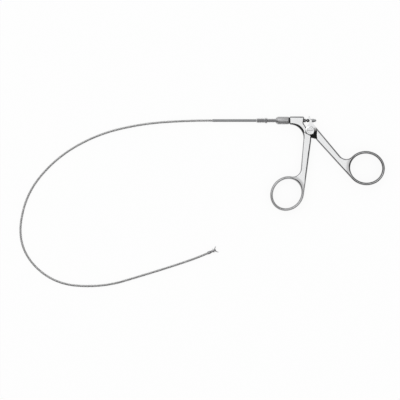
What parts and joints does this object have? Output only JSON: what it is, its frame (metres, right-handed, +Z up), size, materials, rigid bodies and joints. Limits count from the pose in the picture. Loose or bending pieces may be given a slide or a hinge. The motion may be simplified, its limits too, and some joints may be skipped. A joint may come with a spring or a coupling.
{
  "type": "flexible endoscopic scissors",
  "caption": "Flexible endoscopic scissors: ring handle with lever and drive rod, union collar, stiff tube, and a long flexible coil that ends in double-action blades.",
  "frame": {"origin": "on the handle's pivot axis, at the flat underside of the fixed handle half, which lies on the surface", "axes": "+X back along the handle, away from the shaft; +Y away from the finger rings; +Z up from the surface, along the pivot axis"},
  "size_m": [0.2794, 0.1308, 0.0065],
  "materials": {
    "handle_steel": "satin forged stainless steel, polished edges",
    "bright_steel": "polished stainless steel",
    "dark_steel": "turned stainless steel, dull",
    "tube_steel": "drawn stainless tube",
    "coil_steel": "close-wound stainless wire coil",
    "wire_steel": "drawn stainless wire",
    "tip_steel": "ground stainless steel"
  },
  "bodies": {
    "fixed_half": {"front_handle": "handle_steel", "pivot_screw": "bright_steel", "rod_guide_bush": "dark_steel", "clamp_collar": "bright_steel", "rear_ferrule": "bright_steel", "front_ferrule": "bright_steel", "stiffening_tube": "tube_steel", "coil_sheath": "coil_steel", "pull_wire": "wire_steel", "tip_sleeve": "tip_steel", "tip_clevis": "tip_steel", "blade_pivot_pin": "tip_steel"},
    "moving_half": {"rear_handle": "handle_steel"},
    "drive_line": {"drive_rod": "dark_steel", "thrust_ball": "dark_steel", "adjusting_nut": "dark_steel", "lock_nut": "dark_steel", "rod_wire_crimp": "tube_steel"},
    "yoke": {"drive_yoke": "tip_steel", "yoke_pin": "tip_steel", "tip_wire_crimp": "tip_steel"},
    "blade_upper": {"upper_blade": "tip_steel"},
    "blade_lower": {"lower_blade": "tip_steel"}
  },
  "joints": [
    {"name": "handle_pivot", "type": "hinge", "parent": "fixed_half", "child": "moving_half", "pos_m": [0, 0, 0.0031], "axis": [0, 0, -1], "range_deg": [0, 26]},
    {"name": "drive_slide", "type": "slide", "parent": "fixed_half", "child": "drive_line", "axis": [1, 0, 0], "range_m": [0, 0.0035]},
    {"name": "yoke_slide", "type": "slide", "parent": "fixed_half", "child": "yoke", "axis": [-0.9165, -0.4001, 0], "range_m": [0, 0.000841]},
    {"name": "upper_blade_pivot", "type": "hinge", "parent": "fixed_half", "child": "blade_upper", "pos_m": [-0.07257, -0.09136, 0.0012], "axis": [0, 0, -1], "range_deg": [0, 52.01]},
    {"name": "lower_blade_pivot", "type": "hinge", "parent": "fixed_half", "child": "blade_lower", "pos_m": [-0.07257, -0.09136, 0.0012], "axis": [0, 0, 1], "range_deg": [0, 52.01]}
  ],
  "couplings": [
    {"joint": "drive_slide", "follows": "handle_pivot", "m_per_rad": 0.007711},
    {"joint": "yoke_slide", "follows": "handle_pivot", "m_per_rad": 0.0018511},
    {"joint": "upper_blade_pivot", "follows": "handle_pivot", "ratio": 2},
    {"joint": "lower_blade_pivot", "follows": "handle_pivot", "ratio": 2}
  ]
}
